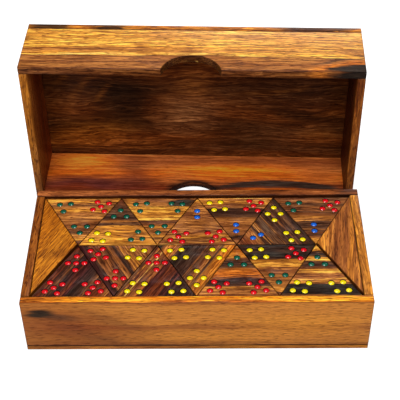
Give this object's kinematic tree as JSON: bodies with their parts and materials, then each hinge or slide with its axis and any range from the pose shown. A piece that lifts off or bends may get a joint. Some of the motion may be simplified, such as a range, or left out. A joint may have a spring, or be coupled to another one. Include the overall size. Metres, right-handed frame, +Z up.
{
  "type": "three-cornered domino set",
  "caption": "Triangular wooden tiles with painted pips in their corners, packed flat in a shallow hardwood tray, with a deep lift-off lid that has thumb notches.",
  "frame": {"origin": "centre of the tray's underside, on the surface that the tray and the lid both stand on", "axes": "+X along the tray's length, +Y from the tray's front board to its back board and on to the lid, +Z up out of the tray"},
  "size_m": [0.2435, 0.2024, 0.1246],
  "materials": {
    "tray_wood": "satin varnish over brown and golden hardwood",
    "filler_wood": "satin varnish",
    "lid_wood": "satin varnish over orange-brown hardwood",
    "tile_wood": "satin varnish over dark striped hardwood",
    "pip_blue": "glossy blue paint in the drilled hollows",
    "pip_green": "glossy green paint in the drilled hollows",
    "pip_yellow": "glossy yellow paint in the drilled hollows",
    "pip_red": "glossy red paint in the drilled hollows",
    "pip_white": "glossy white paint in the drilled hollows"
  },
  "bodies": {
    "tray": {"tray_bottom": "tray_wood", "tray_front_wall": "tray_wood", "tray_back_wall": "tray_wood", "tray_left_wall": "tray_wood", "tray_right_wall": "tray_wood", "filler_left": "filler_wood", "filler_right": "filler_wood"},
    "lid": {"lid_upper_wall": "lid_wood", "lid_lower_wall": "lid_wood", "lid_left_wall": "lid_wood", "lid_right_wall": "lid_wood", "lid_top": "lid_wood"},
    "lowest_back_row": {"lowest_back_row": "tile_wood"},
    "lowest_front_row": {"lowest_front_row": "tile_wood"},
    "tile_3_3_5": {"tile_3_3_5": "tile_wood"},
    "tile_3_3_4": {"tile_3_3_4": "tile_wood"},
    "tile_3_3_3": {"tile_3_3_3": "tile_wood"},
    "tile_2_5_5": {"tile_2_5_5": "tile_wood"},
    "tile_2_4_5": {"tile_2_4_5": "tile_wood"},
    "tile_2_4_4": {"tile_2_4_4": "tile_wood"},
    "tile_2_3_5": {"tile_2_3_5": "tile_wood"},
    "tile_5_5_5": {"tile_5_5_5": "tile_wood"},
    "tile_4_5_5": {"tile_4_5_5": "tile_wood"},
    "tile_4_4_5": {"tile_4_4_5": "tile_wood"},
    "tile_4_4_4": {"tile_4_4_4": "tile_wood"},
    "tile_3_5_5": {"tile_3_5_5": "tile_wood"},
    "tile_3_4_5": {"tile_3_4_5": "tile_wood"},
    "tile_3_4_4": {"tile_3_4_4": "tile_wood"},
    "tile_0_3_5": {"tile_0_3_5": "tile_wood"},
    "tile_0_4_4": {"tile_0_4_4": "tile_wood"},
    "tile_1_2_5": {"tile_1_2_5": "tile_wood"},
    "tile_1_3_4": {"tile_1_3_4": "tile_wood"},
    "tile_2_2_4": {"tile_2_2_4": "tile_wood"},
    "tile_2_3_3": {"tile_2_3_3": "tile_wood"},
    "tile_0_4_5": {"tile_0_4_5": "tile_wood"},
    "tile_1_3_5": {"tile_1_3_5": "tile_wood"},
    "tile_1_4_4": {"tile_1_4_4": "tile_wood"},
    "tile_2_2_5": {"tile_2_2_5": "tile_wood"},
    "tile_2_3_4": {"tile_2_3_4": "tile_wood"},
    "tile_0_5_5": {"tile_0_5_5": "tile_wood"},
    "tile_1_4_5": {"tile_1_4_5": "tile_wood"},
    "tile_1_5_5": {"tile_1_5_5": "tile_wood"},
    "tile_1_1_3": {"tile_1_1_3": "tile_wood"},
    "tile_1_2_2": {"tile_1_2_2": "tile_wood"},
    "tile_0_1_5": {"tile_0_1_5": "tile_wood"},
    "tile_0_2_4": {"tile_0_2_4": "tile_wood"},
    "tile_0_3_3": {"tile_0_3_3": "tile_wood"},
    "tile_1_1_4": {"tile_1_1_4": "tile_wood"},
    "tile_1_2_3": {"tile_1_2_3": "tile_wood"},
    "tile_2_2_2": {"tile_2_2_2": "tile_wood"},
    "tile_0_2_5": {"tile_0_2_5": "tile_wood"},
    "tile_0_3_4": {"tile_0_3_4": "tile_wood"},
    "tile_1_1_5": {"tile_1_1_5": "tile_wood"},
    "tile_1_2_4": {"tile_1_2_4": "tile_wood"},
    "tile_1_3_3": {"tile_1_3_3": "tile_wood"},
    "tile_2_2_3": {"tile_2_2_3": "tile_wood"}
  },
  "joints": [
    {"name": "lid_lift", "type": "slide", "parent": "tray", "child": "lid", "axis": [0, 0, 1], "range_m": [0, 0.06]},
    {"name": "lowest_back_row_lift", "type": "slide", "parent": "tray", "child": "lowest_back_row", "axis": [0, 0, 1], "range_m": [0, 0.045]},
    {"name": "lowest_front_row_lift", "type": "slide", "parent": "tray", "child": "lowest_front_row", "axis": [0, 0, 1], "range_m": [0, 0.045]},
    {"name": "tile_3_3_5_lift", "type": "slide", "parent": "tile_0_3_5", "child": "tile_3_3_5", "axis": [0, 0, 1], "range_m": [0, 0.015]},
    {"name": "tile_3_3_4_lift", "type": "slide", "parent": "tile_0_4_4", "child": "tile_3_3_4", "axis": [0, 0, 1], "range_m": [0, 0.015]},
    {"name": "tile_3_3_3_lift", "type": "slide", "parent": "tile_1_2_5", "child": "tile_3_3_3", "axis": [0, 0, 1], "range_m": [0, 0.015]},
    {"name": "tile_2_5_5_lift", "type": "slide", "parent": "tile_1_3_4", "child": "tile_2_5_5", "axis": [0, 0, 1], "range_m": [0, 0.015]},
    {"name": "tile_2_4_5_lift", "type": "slide", "parent": "tile_2_2_4", "child": "tile_2_4_5", "axis": [0, 0, 1], "range_m": [0, 0.015]},
    {"name": "tile_2_4_4_lift", "type": "slide", "parent": "tile_2_3_3", "child": "tile_2_4_4", "axis": [0, 0, 1], "range_m": [0, 0.015]},
    {"name": "tile_2_3_5_lift", "type": "slide", "parent": "tile_0_4_5", "child": "tile_2_3_5", "axis": [0, 0, 1], "range_m": [0, 0.015]},
    {"name": "tile_5_5_5_lift", "type": "slide", "parent": "tile_1_3_5", "child": "tile_5_5_5", "axis": [0, 0, 1], "range_m": [0, 0.015]},
    {"name": "tile_4_5_5_lift", "type": "slide", "parent": "tile_1_4_4", "child": "tile_4_5_5", "axis": [0, 0, 1], "range_m": [0, 0.015]},
    {"name": "tile_4_4_5_lift", "type": "slide", "parent": "tile_2_2_5", "child": "tile_4_4_5", "axis": [0, 0, 1], "range_m": [0, 0.015]},
    {"name": "tile_4_4_4_lift", "type": "slide", "parent": "tile_2_3_4", "child": "tile_4_4_4", "axis": [0, 0, 1], "range_m": [0, 0.015]},
    {"name": "tile_3_5_5_lift", "type": "slide", "parent": "tile_0_5_5", "child": "tile_3_5_5", "axis": [0, 0, 1], "range_m": [0, 0.015]},
    {"name": "tile_3_4_5_lift", "type": "slide", "parent": "tile_1_4_5", "child": "tile_3_4_5", "axis": [0, 0, 1], "range_m": [0, 0.015]},
    {"name": "tile_3_4_4_lift", "type": "slide", "parent": "tile_1_5_5", "child": "tile_3_4_4", "axis": [0, 0, 1], "range_m": [0, 0.015]},
    {"name": "tile_0_3_5_lift", "type": "slide", "parent": "tile_1_1_3", "child": "tile_0_3_5", "axis": [0, 0, 1], "range_m": [0, 0.025]},
    {"name": "tile_0_4_4_lift", "type": "slide", "parent": "tile_1_2_2", "child": "tile_0_4_4", "axis": [0, 0, 1], "range_m": [0, 0.025]},
    {"name": "tile_1_2_5_lift", "type": "slide", "parent": "tile_0_1_5", "child": "tile_1_2_5", "axis": [0, 0, 1], "range_m": [0, 0.025]},
    {"name": "tile_1_3_4_lift", "type": "slide", "parent": "tile_0_2_4", "child": "tile_1_3_4", "axis": [0, 0, 1], "range_m": [0, 0.025]},
    {"name": "tile_2_2_4_lift", "type": "slide", "parent": "tile_0_3_3", "child": "tile_2_2_4", "axis": [0, 0, 1], "range_m": [0, 0.025]},
    {"name": "tile_2_3_3_lift", "type": "slide", "parent": "tile_1_1_4", "child": "tile_2_3_3", "axis": [0, 0, 1], "range_m": [0, 0.025]},
    {"name": "tile_0_4_5_lift", "type": "slide", "parent": "tile_1_2_3", "child": "tile_0_4_5", "axis": [0, 0, 1], "range_m": [0, 0.025]},
    {"name": "tile_1_3_5_lift", "type": "slide", "parent": "tile_2_2_2", "child": "tile_1_3_5", "axis": [0, 0, 1], "range_m": [0, 0.025]},
    {"name": "tile_1_4_4_lift", "type": "slide", "parent": "tile_0_2_5", "child": "tile_1_4_4", "axis": [0, 0, 1], "range_m": [0, 0.025]},
    {"name": "tile_2_2_5_lift", "type": "slide", "parent": "tile_0_3_4", "child": "tile_2_2_5", "axis": [0, 0, 1], "range_m": [0, 0.025]},
    {"name": "tile_2_3_4_lift", "type": "slide", "parent": "tile_1_1_5", "child": "tile_2_3_4", "axis": [0, 0, 1], "range_m": [0, 0.025]},
    {"name": "tile_0_5_5_lift", "type": "slide", "parent": "tile_1_2_4", "child": "tile_0_5_5", "axis": [0, 0, 1], "range_m": [0, 0.025]},
    {"name": "tile_1_4_5_lift", "type": "slide", "parent": "tile_1_3_3", "child": "tile_1_4_5", "axis": [0, 0, 1], "range_m": [0, 0.025]},
    {"name": "tile_1_5_5_lift", "type": "slide", "parent": "tile_2_2_3", "child": "tile_1_5_5", "axis": [0, 0, 1], "range_m": [0, 0.025]},
    {"name": "tile_1_1_3_lift", "type": "slide", "parent": "lowest_back_row", "child": "tile_1_1_3", "axis": [0, 0, 1], "range_m": [0, 0.035]},
    {"name": "tile_1_2_2_lift", "type": "slide", "parent": "lowest_back_row", "child": "tile_1_2_2", "axis": [0, 0, 1], "range_m": [0, 0.035]},
    {"name": "tile_0_1_5_lift", "type": "slide", "parent": "lowest_back_row", "child": "tile_0_1_5", "axis": [0, 0, 1], "range_m": [0, 0.035]},
    {"name": "tile_0_2_4_lift", "type": "slide", "parent": "lowest_back_row", "child": "tile_0_2_4", "axis": [0, 0, 1], "range_m": [0, 0.035]},
    {"name": "tile_0_3_3_lift", "type": "slide", "parent": "lowest_back_row", "child": "tile_0_3_3", "axis": [0, 0, 1], "range_m": [0, 0.035]},
    {"name": "tile_1_1_4_lift", "type": "slide", "parent": "lowest_back_row", "child": "tile_1_1_4", "axis": [0, 0, 1], "range_m": [0, 0.035]},
    {"name": "tile_1_2_3_lift", "type": "slide", "parent": "lowest_back_row", "child": "tile_1_2_3", "axis": [0, 0, 1], "range_m": [0, 0.035]},
    {"name": "tile_2_2_2_lift", "type": "slide", "parent": "lowest_front_row", "child": "tile_2_2_2", "axis": [0, 0, 1], "range_m": [0, 0.035]},
    {"name": "tile_0_2_5_lift", "type": "slide", "parent": "lowest_front_row", "child": "tile_0_2_5", "axis": [0, 0, 1], "range_m": [0, 0.035]},
    {"name": "tile_0_3_4_lift", "type": "slide", "parent": "lowest_front_row", "child": "tile_0_3_4", "axis": [0, 0, 1], "range_m": [0, 0.035]},
    {"name": "tile_1_1_5_lift", "type": "slide", "parent": "lowest_front_row", "child": "tile_1_1_5", "axis": [0, 0, 1], "range_m": [0, 0.035]},
    {"name": "tile_1_2_4_lift", "type": "slide", "parent": "lowest_front_row", "child": "tile_1_2_4", "axis": [0, 0, 1], "range_m": [0, 0.035]},
    {"name": "tile_1_3_3_lift", "type": "slide", "parent": "lowest_front_row", "child": "tile_1_3_3", "axis": [0, 0, 1], "range_m": [0, 0.035]},
    {"name": "tile_2_2_3_lift", "type": "slide", "parent": "lowest_front_row", "child": "tile_2_2_3", "axis": [0, 0, 1], "range_m": [0, 0.035]}
  ]
}
